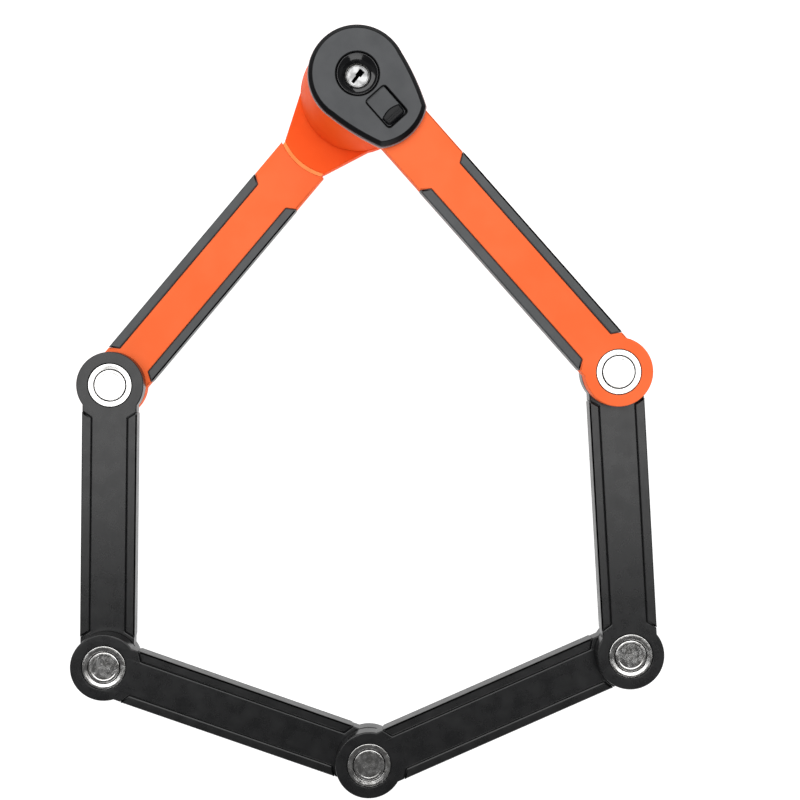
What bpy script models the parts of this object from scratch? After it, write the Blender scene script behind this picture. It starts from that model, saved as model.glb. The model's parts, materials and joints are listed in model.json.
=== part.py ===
"""Folding bike lock: a hexagonal loop of four steel links and two arms, closed by a key head.

Each member is a steel core in a moulded cover with two edge strips. The members lie one level apart,
so the loop folds flat into a stack. Units below are millimetres and degrees; the model is in metres.
+Z runs up through the stack, and +Y runs from the bottom rivet towards the head.
"""
import math

import bmesh
import bpy
from mathutils import Matrix, Vector

MM = 0.001
ASSEMBLY = "folding_bike_lock"

# The loop
PITCH = 126.0                     # rivet to rivet on a link
RIGHT_ARM = 168.5                 # rivet to head axis
LEFT_ARM = 172.2
LINK_DIRECTIONS = (-86.4, -156.7, 159.9, 88.9)  # clockwise from the right arm's rivet
LEVEL = 7.0                       # height from one member to the next
LINK_NAMES = ("right_link", "lower_right_link", "lower_left_link", "left_link")
RIVET_NAMES = ("upper_right", "lower_right", "bottom", "lower_left", "upper_left")

# A member's cross-section
THICK = 6.6                       # cover, face to face
SKIN = 0.6                        # cover wall over the core
GAP = 0.2                         # moulded parts to the core
CLEAR = 0.3                       # between neighbouring pieces
EYE_R = 15.0                      # cover round a rivet
EYE_WALL = 0.9
LINK_HALF = 12.1                  # half the width of a link's cover
ARM_HALF = 12.3                   # half the width of an arm's cover
STRIP_PROUD = 0.2                 # an edge strip stands out from the cover
STRIP_WIDE = 4.3
STRIP_SLANT = 2.8                 # a strip is this much shorter on its inner side, at each end
STRIP_WALL = 1.4
LINK_STRIP = (11.9, PITCH - 11.9)
RIGHT_STRIP = (11.9, 115.2)
LEFT_STRIP = (11.9, 114.8)
CORE_LOW = SKIN + GAP
CORE_HIGH = THICK - SKIN - GAP

# Rivets
BORE_R = 4.8
SHANK_R = 4.5
BUTTON_R = 7.1
RING_R = (7.35, 9.65)
SEAT_R = 9.95                     # hole in a cover and counterbore in a core
SEAT_DEPTH = 1.4
RIVET_SINK = 0.2                  # a rivet's end lies this far below the face

# Left arm's end
COVER_END = 132.5
NECK = (134.5, 11.5)              # where the neck starts, and its half width there
NECK_FLARE = 156.2                # where the flare meets the collar's edge
GROOVE_HALF = 10.2
COLLAR_R = 25.7
CORE_NECK = (126.0, 8.6)
EYE_BORE_R = 6.9                  # half the width of the bolt's slot

# Head, in heights above the lowest face
HOUSING_LOW = LEVEL
HOUSING_SHOULDER = 5 * LEVEL
HOUSING_HIGH = 5 * LEVEL + THICK
CAP_R = 20.8
SHOULDER_R = 20.6
NOSE_CORNER = (29.0, 12.8)
NOSE_TIP = 33.2
NOSE_CUT = 28.0                   # the housing ends here, under the cap
SIDE_SAG = 0.8
GASKET = (41.8, 43.0)
CAP = (43.2, 46.0)
CAP_CHAMFER = 1.2
RECESS_R = 9.1
CHAMBER_R = 9.0
CHAMBER_LOW = 9.3

# Lock mechanism
TRAVEL = 4.5                      # of the bolt, over a quarter turn of the key
BOLT_R = 6.3
BOLT_LOW = 7.3
FLANGE = (17.0, 18.2)
FLANGE_R = 8.4
CROWN_R = (4.3, 7.2)
CAM_VALLEY = 23.6
CAM_TOP = 25.0
CYLINDER = (25.3, 41.5)
CYLINDER_R = 8.6
CYLINDER_GROOVE = (29.0, 32.0)
PLUG_R = 4.7
PLUG_FACE = 41.3
TANG = 3.4
KEYWAY_TURN = 107.0               # from the nose direction
KEYWAY_DEPTH = 9.0
PIN_R = 1.1
PIN_REACH = (7.7, 20.6)
SPRING_TURNS = 3
SPRING_WIRE = 0.8
SPRING_R = 7.6

# Slider over the keyhole
WINDOW = (10.8, 25.6)
WINDOW_HALF = 5.2
CHANNEL_HALF = 5.5
CHANNEL = (6.0, 26.4)
BLADE = (43.5, 44.8)
BLADE_SPAN = (9.3, 25.3)
BLADE_HALF = 4.95
THUMB = (19.6, 25.2)
THUMB_HIGH = 45.9

SEGMENTS = 16                     # round the rivets and bores
EYE_SEGMENTS = 24                 # round the eyes
HEAD_SEGMENTS = 36                # round the head

parts = bpy.data.collections.new(ASSEMBLY)
cutters = bpy.data.collections.new("cutters")


# Helpers -------------------------------------------------------------------------------------------

def material(name, colour, roughness, metallic=0.0):
    """A plain Principled finish."""
    finish = bpy.data.materials.new(name)
    finish.use_nodes = True
    shader = finish.node_tree.nodes["Principled BSDF"]
    shader.inputs["Base Color"].default_value = (*colour, 1.0)
    shader.inputs["Roughness"].default_value = roughness
    shader.inputs["Metallic"].default_value = metallic
    finish.diffuse_color = (*colour, 1.0)
    return finish


def add(name, mesh, parent, finish=None):
    """Put a mesh in the scene under its pivot; a piece with no finish is a cutter."""
    piece = bpy.data.objects.new(name, mesh)
    piece.parent = parent
    if finish:
        parts.objects.link(piece)
        mesh.materials.append(finish)
        mesh.shade_smooth()
        mesh.set_sharp_from_angle(angle=math.radians(30))
    else:
        cutters.objects.link(piece)
        piece.hide_render = True
        piece.display_type = "WIRE"
    return piece


def pivot(name, parent, location, turn):
    """An empty on a joint's axis, turned about +Z."""
    empty = bpy.data.objects.new(name, None)
    parts.objects.link(empty)
    empty.parent = parent
    empty.location = Vector(location) * MM
    empty.rotation_euler = (0, 0, math.radians(turn))
    return empty


def tidy_mesh(mesh):
    """Weld a converted mesh and face it out."""
    work = bmesh.new()
    work.from_mesh(mesh)
    bmesh.ops.remove_doubles(work, verts=work.verts, dist=1e-6)
    bmesh.ops.recalc_face_normals(work, faces=work.faces)
    work.to_mesh(mesh)
    work.free()
    return mesh


def from_curve(curve):
    """Turn a curve into a closed mesh."""
    guide = bpy.data.objects.new("guide", curve)
    bpy.context.scene.collection.objects.link(guide)
    graph = bpy.context.evaluated_depsgraph_get()
    mesh = bpy.data.meshes.new_from_object(guide.evaluated_get(graph))
    bpy.data.objects.remove(guide)
    return tidy_mesh(mesh)


def plate_mesh(name, outlines, low, high):
    """A flat plate from low to high; the first outline is its edge, the others are holes."""
    curve = bpy.data.curves.new(name, "CURVE")
    curve.dimensions = "2D"
    curve.fill_mode = "BOTH"
    curve.extrude = (high - low) / 2 * MM
    for outline in outlines:
        spline = curve.splines.new("POLY")
        spline.points.add(len(outline) - 1)
        for point, (x, y) in zip(spline.points, outline):
            point.co = (x * MM, y * MM, 0, 1)
        spline.use_cyclic_u = True
    mesh = from_curve(curve)
    mesh.transform(lift((low + high) / 2))
    return mesh


def lift(height):
    """A move up by height."""
    return Matrix.Translation((0, 0, height * MM))


def arc(centre, radius, start, end, count):
    """Points on an arc about a place on the X axis, both ends included."""
    angles = [math.radians(start + (end - start) * i / count) for i in range(count + 1)]
    return [(centre + radius * math.cos(a), radius * math.sin(a)) for a in angles]


def circle(centre, radius, count=SEGMENTS):
    """A closed circle about a place on the X axis."""
    return arc(centre, radius, 0, 360, count)[:-1]


def mirrored(half):
    """A closed outline from its +Y half, which runs from one end of the X axis to the other."""
    return half + [(x, -y) for x, y in reversed(half) if y > 1e-6]


def box_outline(x0, x1, y0, y1):
    return [(x0, y0), (x1, y0), (x1, y1), (x0, y1)]


def cylinder_cutter(name, parent, radius, low, high, count=SEGMENTS):
    return add(name, plate_mesh(name, [circle(0, radius, count)], low, high), parent)


def combine(piece, tool, operation):
    """A Boolean that stays on its piece."""
    modifier = piece.modifiers.new(tool.name, "BOOLEAN")
    modifier.operation = operation
    modifier.solver = "EXACT"
    modifier.object = tool


def cut(piece, *tools):
    for tool in tools:
        combine(piece, tool, "DIFFERENCE")


def turned(name, profile, parent, finish, closed=False, steps=SEGMENTS):
    """A turned piece; its profile runs down the outer side, from top to bottom."""
    mesh = bpy.data.meshes.new(name)
    points = [(r * MM, 0, z * MM) for r, z in profile]
    edges = [(i, i + 1) for i in range(len(points) - 1)]
    if closed:
        edges.append((len(points) - 1, 0))
    mesh.from_pydata(points, edges, [])
    piece = add(name, mesh, parent, finish)
    screw = piece.modifiers.new("turn", "SCREW")
    screw.steps = steps
    screw.render_steps = steps
    screw.use_merge_vertices = True
    screw.merge_threshold = 0.00001
    screw.use_smooth_shade = False
    return piece


# Outlines of a member ------------------------------------------------------------------------------

def eye_half(centre, radius, half_width, side):
    """The upper half of an eye's edge; side is -1 for the eye at the start and 1 for one at the end."""
    leave = math.degrees(math.asin(half_width / radius))
    if side < 0:
        return arc(centre, radius, 180, leave, EYE_SEGMENTS // 2)
    return arc(centre, radius, 180 - leave, 0, EYE_SEGMENTS // 2)


def link_outline(inset):
    """A link's edge, with an eye at each end, moved in by inset."""
    radius = EYE_R - inset
    half = LINK_HALF - inset
    return mirrored(eye_half(0, radius, half, -1) + eye_half(PITCH, radius, half, 1))


CORE_INSET = EYE_WALL + GAP


def link_core_outline(grow):
    """The steel bar inside a link or along an arm's strips, moved out by grow."""
    radius = EYE_R - CORE_INSET + grow
    half = core_half(LINK_HALF) + grow
    return mirrored(eye_half(0, radius, half, -1) + eye_half(PITCH, radius, half, 1))


def core_half(cover_half):
    """Half the width of the steel bar inside a cover."""
    return cover_half + STRIP_PROUD - STRIP_WALL - GAP


def right_core_outline(grow):
    """The right arm's bar, which ends in an eye round the lock cylinder."""
    radius = EYE_R - CORE_INSET + grow
    half = core_half(ARM_HALF) + grow
    return mirrored(eye_half(0, radius, half, -1) + eye_half(RIGHT_ARM, radius, half, 1))


def left_core_outline(grow):
    """The left arm's bar, narrower at the neck, with an eye for the bolt."""
    radius = EYE_R - CORE_INSET + grow
    wide = core_half(ARM_HALF) + grow
    start, narrow = CORE_NECK
    narrow += grow
    step = [(start + grow, wide), (start + 1.5 + grow, narrow)]
    return mirrored(eye_half(0, radius, wide, -1) + step + eye_half(LEFT_ARM, radius, narrow, 1))


def bolt_slot():
    """The bolt's hole in the left arm's end, long enough to take it with the loop closed or folded flat."""
    quarter = SEGMENTS // 4
    return mirrored(arc(RIGHT_ARM, EYE_BORE_R, 180, 90, quarter) + arc(LEFT_ARM, EYE_BORE_R, 90, 0, quarter))


def arm_outline(end):
    """An arm's cover, with an eye at its rivet and a flat end."""
    return mirrored(eye_half(0, EYE_R, ARM_HALF, -1) + [(end, ARM_HALF)])


def strip_outline(span, cover_half, side, grow):
    """An edge strip's plan, moved out by grow: longer along the edge than on its inner side."""
    start, end = span
    slope = STRIP_SLANT / STRIP_WIDE
    corner = grow * math.hypot(1, slope)
    edge = cover_half + STRIP_PROUD
    outline = []
    for y in (edge + 3 * grow, edge - STRIP_WIDE - grow):
        slant = slope * (edge - y) - corner
        ends = [(start + slant, y), (end - slant, y)]
        outline += ends if not outline else ends[::-1]
    return [(x, side * y) for x, y in outline]


# Members -------------------------------------------------------------------------------------------

def seat_cutters(name, frame, seats):
    """Counterbores for the rivets: each is (place along the member, 1 for its top or -1 for its underside)."""
    tools = []
    for place, side in seats:
        low = CORE_HIGH - SEAT_DEPTH if side > 0 else -1.0
        high = THICK + 1.0 if side > 0 else CORE_LOW + SEAT_DEPTH
        label = f"{name}_seat_{len(tools)}"
        tools.append(add(label, plate_mesh(label, [circle(place, SEAT_R)], low, high), frame))
    return tools


def core(name, frame, outline, holes, seats):
    """The hardened steel bar of a member."""
    piece = add(name, plate_mesh(name, [outline, *holes], CORE_LOW, CORE_HIGH), frame, STEEL)
    cut(piece, *seat_cutters(name, frame, seats))
    return piece


def cover(name, frame, outline, cavity, places, strips, cover_half, finish):
    """The moulded sleeve round a core, notched along both edges for the strips."""
    holes = [circle(place, SEAT_R) for place in places]
    piece = add(name, plate_mesh(name, [outline, *holes], 0, THICK), frame, finish)
    hollow = f"{name}_hollow"
    cut(piece, add(hollow, plate_mesh(hollow, [cavity], SKIN, THICK - SKIN), frame))
    for side in (-1, 1):
        notch = f"{name}_notch_{side + 1}"
        plan = strip_outline(strips, cover_half, side, CLEAR)
        cut(piece, add(notch, plate_mesh(notch, [plan], -1, THICK + 1), frame))
    return piece


def strip(name, frame, span, cover_half, side):
    """A soft edge strip that wraps the core's edge."""
    plan = strip_outline(span, cover_half, side, 0)
    piece = add(name, plate_mesh(name, [plan], 0, THICK), frame, STRIP)
    inner = core_half(cover_half) + GAP
    groove = f"{name}_groove"
    block = box_outline(span[0] - 5, span[1] + 5, -inner, inner)
    cut(piece, add(groove, plate_mesh(groove, [block], SKIN, THICK - SKIN), frame))
    return piece


def strips(name, frame, span, cover_half, outer_side):
    """Both edge strips of a member."""
    strip(f"{name}_outer_strip", frame, span, cover_half, outer_side)
    strip(f"{name}_inner_strip", frame, span, cover_half, -outer_side)


def link(name, frame):
    """A black link: the lower piece at its first rivet and the upper piece at its second."""
    bores = [circle(0, BORE_R), circle(PITCH, BORE_R)]
    core(f"{name}_core", frame, link_core_outline(0), bores, [(0, -1), (PITCH, 1)])
    cover(f"{name}_cover", frame, link_outline(0), link_core_outline(GAP), (0, PITCH),
          LINK_STRIP, LINK_HALF, BLACK)
    strips(name, frame, LINK_STRIP, LINK_HALF, 1)


def right_arm(frame):
    """The orange arm on top of the stack, fixed to the head."""
    end = RIGHT_ARM - NOSE_CUT - CLEAR
    bores = [circle(0, BORE_R), circle(RIGHT_ARM, CHAMBER_R - 0.1)]
    core("right_arm_core", frame, right_core_outline(0), bores, [(0, 1)])
    cover("right_arm_cover", frame, arm_outline(end), right_core_outline(GAP), (0,),
          RIGHT_STRIP, ARM_HALF, ORANGE)
    strips("right_arm", frame, RIGHT_STRIP, ARM_HALF, -1)


def left_arm(frame):
    """The orange arm under the stack, whose collar the head locks on to."""
    bores = [circle(0, BORE_R), bolt_slot()]
    core("left_arm_core", frame, left_core_outline(0), bores, [(0, -1)])
    cover("left_arm_cover", frame, arm_outline(COVER_END), left_core_outline(GAP), (0,),
          LEFT_STRIP, ARM_HALF, ORANGE)
    strips("left_arm", frame, LEFT_STRIP, ARM_HALF, 1)
    collar(frame)


def collar(frame):
    """The flared neck and round collar at the left arm's end, with a groove where the neck starts."""
    start = math.degrees(math.acos((LEFT_ARM - NECK_FLARE) / COLLAR_R))
    half = [NECK, *arc(LEFT_ARM, COLLAR_R, 180 - start, 0, HEAD_SEGMENTS // 2)]
    outlines = [mirrored(half), bolt_slot()]
    piece = add("left_arm_collar", plate_mesh("left_arm_collar", outlines, 0, THICK), frame, ORANGE)
    tongue = box_outline(COVER_END + CLEAR, NECK[0] + 1.0, -GROOVE_HALF, GROOVE_HALF)
    sink = SKIN / 2
    combine(piece, add("collar_tongue", plate_mesh("collar_tongue", [tongue], sink, THICK - sink), frame),
            "UNION")
    cavity = plate_mesh("collar_hollow", [left_core_outline(GAP)], SKIN, THICK - SKIN)
    cut(piece, add("collar_hollow", cavity, frame))


# Rivets --------------------------------------------------------------------------------------------

def rivet(name, frame, place):
    """A rivet through an upper member, whose frame it is in, and the member one level below."""
    axis = pivot(f"{name}_axis", frame, (place, 0, 0), 0)
    top = THICK - RIVET_SINK
    seat = CORE_HIGH - SEAT_DEPTH + GAP
    low_seat = CORE_LOW + SEAT_DEPTH - GAP - LEVEL
    bottom = RIVET_SINK - LEVEL
    bevel = 0.4
    pin = [
        (0, top), (BUTTON_R - bevel, top), (BUTTON_R, top - bevel), (BUTTON_R, seat), (SHANK_R, seat),
        (SHANK_R, low_seat), (BUTTON_R, low_seat), (BUTTON_R, bottom), (0, bottom),
    ]
    turned(f"{name}_rivet", pin, axis, RIVET)
    inner, outer = RING_R
    head = [(inner, top - 0.5), (outer, top), (outer, seat), (inner, seat)]
    turned(f"{name}_head_ring", head, axis, RIVET, closed=True)
    tail = [(inner, low_seat), (outer, low_seat), (outer, bottom), (inner, bottom + 0.4)]
    turned(f"{name}_tail_ring", tail, axis, RIVET, closed=True)
    high, low = CORE_LOW - GAP, CORE_HIGH + GAP - LEVEL
    washer = [(BORE_R, high), (outer, high), (outer, low), (BORE_R, low)]
    turned(f"{name}_washer", washer, axis, NYLON, closed=True)


# Head ----------------------------------------------------------------------------------------------

def head_outline(inset, end=None):
    """The head's plan: round about the key, narrowing to a nose over the right arm."""
    corner_x, corner_y = NOSE_CORNER[0] - inset, NOSE_CORNER[1] - inset
    radius = CAP_R - inset
    leave = 75.0
    start = (radius * math.cos(math.radians(leave)), radius * math.sin(math.radians(leave)))
    half = arc(0, radius, 180, leave, HEAD_SEGMENTS // 3)
    side = []
    count = 4
    for i in range(1, count + 1):
        t = i / count
        x = start[0] + (corner_x - start[0]) * t
        y = start[1] + (corner_y - start[1]) * t + 4 * SIDE_SAG * t * (1 - t)
        side.append((x, y))
    if end is not None:
        side = [point for point in side if point[0] < end]
        last = side[-1]
        slope = (corner_y - last[1]) / (corner_x - last[0])
        return mirrored(half + side + [(end, last[1] + slope * (end - last[0]))])
    tip = NOSE_TIP - inset
    centre = (tip ** 2 - corner_x ** 2 - corner_y ** 2) / (2 * (tip - corner_x))
    spread = math.degrees(math.atan2(corner_y, corner_x - centre))
    nose = arc(centre, tip - centre, spread, 0, HEAD_SEGMENTS // 6)
    return mirrored(half + side + nose[1:])


def housing(head):
    """The orange housing: a tapered drum that holds the lock, under a nose that holds the right arm."""
    rise = HOUSING_SHOULDER - HOUSING_LOW
    over = 1.5
    taper = (COLLAR_R - SHOULDER_R) / rise
    drum_top = HOUSING_SHOULDER + over
    drum = [
        (0, drum_top), (COLLAR_R - taper * (rise + over), drum_top), (COLLAR_R, HOUSING_LOW),
        (0, HOUSING_LOW),
    ]
    piece = turned("head_housing", drum, head, ORANGE, steps=HEAD_SEGMENTS)
    top = plate_mesh("housing_top", [head_outline(0.2, NOSE_CUT)], HOUSING_SHOULDER, HOUSING_HIGH)
    combine(piece, add("housing_top", top, head), "UNION")
    arm_slot = plate_mesh("arm_slot", [arm_slot_outline()], HOUSING_SHOULDER + SKIN, HOUSING_HIGH - SKIN)
    chamber = cylinder_cutter("chamber", head, CHAMBER_R, CHAMBER_LOW, HOUSING_HIGH + 1, EYE_SEGMENTS)
    guide = cylinder_cutter("bolt_guide", head, BOLT_R + CLEAR, HOUSING_LOW - 1, CHAMBER_LOW + 1)
    cut(piece, add("arm_slot", arm_slot, head), chamber, guide)
    pin_bore = radial_rod("pin_bore", head, PIN_R + CLEAR, (CHAMBER_R - 1, COLLAR_R), None)
    cut(piece, pin_bore)


def arm_slot_outline():
    """The slot that the right arm's bar slides into, open under the nose."""
    radius = EYE_R - CORE_INSET + GAP
    half = core_half(ARM_HALF) + GAP
    return mirrored(eye_half(0, radius, half, -1) + [(NOSE_CUT + 5, half)])


def radial_rod(name, head, radius, reach, finish):
    """A straight rod that lies across the head's axis, on the side away from the nose."""
    work = bmesh.new()
    length = reach[1] - reach[0]
    bmesh.ops.create_cone(work, cap_ends=True, segments=16, radius1=radius * MM, radius2=radius * MM,
                          depth=length * MM)
    mesh = bpy.data.meshes.new(name)
    work.to_mesh(mesh)
    work.free()
    rod = add(name, mesh, head, finish)
    rod.rotation_euler = (0, math.radians(90), 0)
    rod.location = Vector((-(reach[0] + reach[1]) / 2, 0, sum(CYLINDER_GROOVE) / 2)) * MM
    return rod


def gasket(head):
    """The pale seal between the housing and the cap."""
    mesh = plate_mesh("head_gasket", [head_outline(0.1), head_outline(1.9)], *GASKET)
    add("head_gasket", mesh, head, SEAL)


def cap(head):
    """The black cap, with a round recess for the key and a window for the slider."""
    mesh = plate_mesh("head_cap", [head_outline(0), circle(0, RECESS_R, EYE_SEGMENTS)], *CAP)
    chamfer_rim(mesh, CAP[1], RECESS_R + 1, CAP_CHAMFER)
    piece = add("head_cap", mesh, head, FACE)
    channel = [box_outline(*CHANNEL, -CHANNEL_HALF, CHANNEL_HALF)]
    cut(piece, add("slider_channel", plate_mesh("slider_channel", channel, CAP[0] - 1, BLADE[1] + GAP), head))
    window = [box_outline(*WINDOW, -WINDOW_HALF, WINDOW_HALF)]
    cut(piece, add("slider_window", plate_mesh("slider_window", window, BLADE[1], CAP[1] + 1), head))


def chamfer_rim(mesh, height, beyond, width):
    """Chamfer the top edge of a plate, where it lies further out than beyond."""
    work = bmesh.new()
    work.from_mesh(mesh)
    rim = []
    for edge in work.edges:
        level = all(abs(v.co.z - height * MM) < 1e-6 for v in edge.verts)
        outside = all(v.co.xy.length > beyond * MM for v in edge.verts)
        upright = any(abs(face.normal.z) < 0.5 for face in edge.link_faces)
        if level and outside and upright:
            rim.append(edge)
    bmesh.ops.bevel(work, geom=rim, offset=width * MM, segments=1, affect="EDGES", profile=0.5)
    work.to_mesh(mesh)
    work.free()


def bezel(head):
    """The black ring in the key recess, cut through where the slider's blade comes in."""
    top, bottom = CAP[1] - 0.1, CYLINDER[1] + CLEAR
    outer = RECESS_R - 0.25
    profile = [
        (7.2, top), (outer, top), (outer, bottom), (5.3, bottom), (5.6, bottom + 0.8),
        (6.4, top - 0.8),
    ]
    piece = turned("key_bezel", profile, head, GLOSS, closed=True, steps=EYE_SEGMENTS)
    slot = [box_outline(3.0, RECESS_R + 1, -CHANNEL_HALF, CHANNEL_HALF)]
    cut(piece, add("bezel_slot", plate_mesh("bezel_slot", slot, BLADE[0] - GAP, BLADE[1] + GAP), head))


def slider(head):
    """The keyhole slider: a thin blade under the cap, with a thumb rib in the window."""
    blade = [box_outline(*BLADE_SPAN, -BLADE_HALF, BLADE_HALF)]
    piece = add("keyhole_slider", plate_mesh("keyhole_slider", blade, *BLADE), head, FACE)
    rib = [box_outline(*THUMB, -BLADE_HALF + 0.2, BLADE_HALF - 0.2)]
    combine(piece, add("thumb_rib", plate_mesh("thumb_rib", rib, BLADE[1] - 0.5, THUMB_HIGH), head), "UNION")


def lock_body(head):
    """The lock cylinder, held by a cross pin in its groove."""
    low, high = CYLINDER
    groove_low, groove_high = CYLINDER_GROOVE
    inner = PLUG_R + CLEAR
    profile = [
        (inner, high), (CYLINDER_R, high), (CYLINDER_R, groove_high), (7.4, groove_high),
        (7.4, groove_low), (CYLINDER_R, groove_low), (CYLINDER_R, low), (inner, low),
    ]
    turned("lock_cylinder", profile, head, BRASS, closed=True)
    radial_rod("cylinder_pin", head, PIN_R, PIN_REACH, STEEL)


def plug(head):
    """The key plug, with its stepped keyway and the square tang that turns the cam."""
    bottom = CYLINDER[0] + 0.1
    profile = [(0, PLUG_FACE), (PLUG_R - 0.3, PLUG_FACE), (PLUG_R, PLUG_FACE - 0.3), (PLUG_R, bottom), (0, bottom)]
    piece = turned("key_plug", profile, head, RIVET)
    half = TANG / 2
    tang = plate_mesh("plug_tang", [box_outline(-half, half, -half, half)], CAM_VALLEY + 0.5, bottom + 1)
    combine(piece, add("plug_tang", tang, head), "UNION")
    half = [(-3.3, -0.7), (0.6, -0.7), (0.6, -1.3), (2.4, -1.3), (2.4, -0.7), (3.3, -0.7)]
    plan = half + [(-x, -y) for x, y in half]
    slot = add("keyway", plate_mesh("keyway", [plan], PLUG_FACE - KEYWAY_DEPTH, PLUG_FACE + 1), head)
    slot.rotation_euler = (0, 0, math.radians(KEYWAY_TURN))
    cut(piece, slot)


def tooth(angle):
    """Depth of the crown teeth at an angle: two lobes, with straight ramps a quarter turn long."""
    phase = (math.degrees(angle) % 180) / 90
    return TRAVEL * (phase if phase < 1 else 2 - phase)


def crowned(name, profile, crown, head, finish, closed):
    """A turned piece whose profile points listed in crown follow the teeth."""
    work = bmesh.new()
    verts = [work.verts.new((r * MM, 0, z * MM)) for r, z in profile]
    pairs = list(zip(verts, verts[1:]))
    if closed:
        pairs.append((verts[-1], verts[0]))
    edges = [work.edges.new(pair) for pair in pairs]
    bmesh.ops.spin(work, geom=verts + edges, axis=(0, 0, 1), cent=(0, 0, 0), steps=EYE_SEGMENTS,
                   angle=math.radians(360))
    bmesh.ops.remove_doubles(work, verts=work.verts, dist=1e-6)
    for vert in work.verts:
        for index in crown:
            radius, height = profile[index]
            here = abs(vert.co.xy.length - radius * MM) < 1e-6 and abs(vert.co.z - height * MM) < 1e-6
            if here:
                vert.co.z -= tooth(math.atan2(vert.co.y, vert.co.x)) * MM
                break
    bmesh.ops.recalc_face_normals(work, faces=work.faces)
    bmesh.ops.triangulate(work, faces=work.faces)
    mesh = bpy.data.meshes.new(name)
    work.to_mesh(mesh)
    work.free()
    return add(name, mesh, head, finish)


def cam(head):
    """The cam on the plug's tang: two teeth that push the bolt down as they turn."""
    inner, outer = CROWN_R
    web = CAM_VALLEY + 0.4
    hole = 1.0
    profile = [
        (hole, CAM_TOP), (outer, CAM_TOP), (outer, CAM_VALLEY), (inner, CAM_VALLEY), (inner, web), (hole, web),
    ]
    piece = crowned("bolt_cam", profile, (2, 3), head, STEEL, True)
    half = TANG / 2 + GAP
    socket = plate_mesh("cam_socket", [box_outline(-half, half, -half, half)], web - 1, CAM_TOP + 1)
    cut(piece, add("cam_socket", socket, head))


def bolt(head):
    """The locking bolt: a crown that meets the cam, a spring flange and a round nose."""
    inner, outer = CROWN_R
    peak = CAM_VALLEY - CLEAR
    low, high = FLANGE
    profile = [
        (0, high), (inner, high), (inner, peak), (outer, peak), (outer, high), (FLANGE_R, high),
        (FLANGE_R, low), (BOLT_R, low), (BOLT_R, BOLT_LOW + 0.6), (BOLT_R - 0.6, BOLT_LOW), (0, BOLT_LOW),
    ]
    crowned("locking_bolt", profile, (2, 3), head, STEEL, False)


def spring(head):
    """The return spring under the bolt's flange."""
    curve = bpy.data.curves.new("bolt_spring", "CURVE")
    curve.dimensions = "3D"
    curve.bevel_depth = SPRING_WIRE / 2 * MM
    curve.bevel_resolution = 2
    curve.use_fill_caps = True
    per_turn = 12
    count = SPRING_TURNS * per_turn
    low = CHAMBER_LOW + SPRING_WIRE / 2 + CLEAR
    high = FLANGE[0] - SPRING_WIRE / 2 - CLEAR
    line = curve.splines.new("POLY")
    line.points.add(count)
    for i, point in enumerate(line.points):
        angle = 2 * math.pi * i / per_turn
        height = low + (high - low) * i / count
        point.co = (SPRING_R * math.cos(angle) * MM, SPRING_R * math.sin(angle) * MM, height * MM, 1)
    add("bolt_spring", from_curve(curve), head, STEEL)


# Assembly ------------------------------------------------------------------------------------------

def loop_points():
    """Rivet places clockwise from the right arm's, then the head's, centred on the model's box."""
    places = [Vector((0, 0))]
    for direction in LINK_DIRECTIONS:
        step = Vector((math.cos(math.radians(direction)), math.sin(math.radians(direction))))
        places.append(places[-1] + PITCH * step)
    right, left = places[0], places[-1]
    across = right - left
    span = across.length
    along = (span ** 2 + LEFT_ARM ** 2 - RIGHT_ARM ** 2) / (2 * span)
    rise = math.sqrt(LEFT_ARM ** 2 - along ** 2)
    direction = across.normalized()
    head = left + along * direction + rise * Vector((-direction.y, direction.x))
    xs = [place.x for place in places]
    low = min(place.y for place in places) - EYE_R
    high = head.y + COLLAR_R
    centre = Vector(((min(xs) + max(xs)) / 2, (low + high) / 2))
    return [place - centre for place in places], head - centre


def heading(start, end):
    """Direction from one place to another."""
    return math.degrees(math.atan2(end.y - start.y, end.x - start.x))


def build():
    places, head_place = loop_points()
    frame = pivot("right_arm_frame", None, (*places[0], 5 * LEVEL), heading(places[0], head_place))
    right_arm(frame)
    rivet(RIVET_NAMES[0], frame, 0)
    head = pivot("head_axis", frame, (RIGHT_ARM, 0, -5 * LEVEL), 180)
    for piece in (housing, gasket, cap, bezel, slider, lock_body, plug, cam, bolt, spring):
        piece(head)
    turn_from, place = heading(places[0], head_place), 0
    for index, name in enumerate(LINK_NAMES):
        direction = LINK_DIRECTIONS[index]
        frame = pivot(f"{name}_pivot", frame, (place, 0, -LEVEL), direction - turn_from)
        link(name, frame)
        rivet(RIVET_NAMES[index + 1], frame, PITCH)
        turn_from, place = direction, PITCH
    direction = heading(places[-1], head_place)
    frame = pivot("left_arm_pivot", frame, (PITCH, 0, -LEVEL), direction - turn_from)
    left_arm(frame)


for item in list(bpy.data.objects):
    bpy.data.objects.remove(item)
bpy.context.scene.collection.children.link(parts)
bpy.context.scene.collection.children.link(cutters)

ORANGE = material("orange_moulding", (0.95, 0.17, 0.03), 0.45)
BLACK = material("black_moulding", (0.045, 0.046, 0.048), 0.5)
STRIP = material("edge_strip", (0.09, 0.09, 0.095), 0.6)
FACE = material("head_face", (0.09, 0.09, 0.095), 0.55)
GLOSS = material("gloss_black", (0.015, 0.015, 0.017), 0.2)
SEAL = material("pale_seal", (0.45, 0.4, 0.4), 0.6)
NYLON = material("nylon_washer", (0.75, 0.73, 0.68), 0.5)
STEEL = material("hardened_steel", (0.35, 0.35, 0.37), 0.4, 1.0)
RIVET = material("rivet_steel", (0.75, 0.75, 0.76), 0.25, 1.0)
BRASS = material("cylinder_brass", (0.7, 0.55, 0.25), 0.35, 1.0)

build()
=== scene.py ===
"""Looks of the folding bike lock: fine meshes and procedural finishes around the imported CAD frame.

Shapes are drawn in millimetres, in a member's own frame (origin at its first rivet on its underside, +X
along it) or the head's own frame (origin under the key, +X over the right arm).
"""
import json
import math

import bmesh
import bpy
from mathutils import Matrix, Vector
from mathutils.geometry import tessellate_polygon


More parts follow.
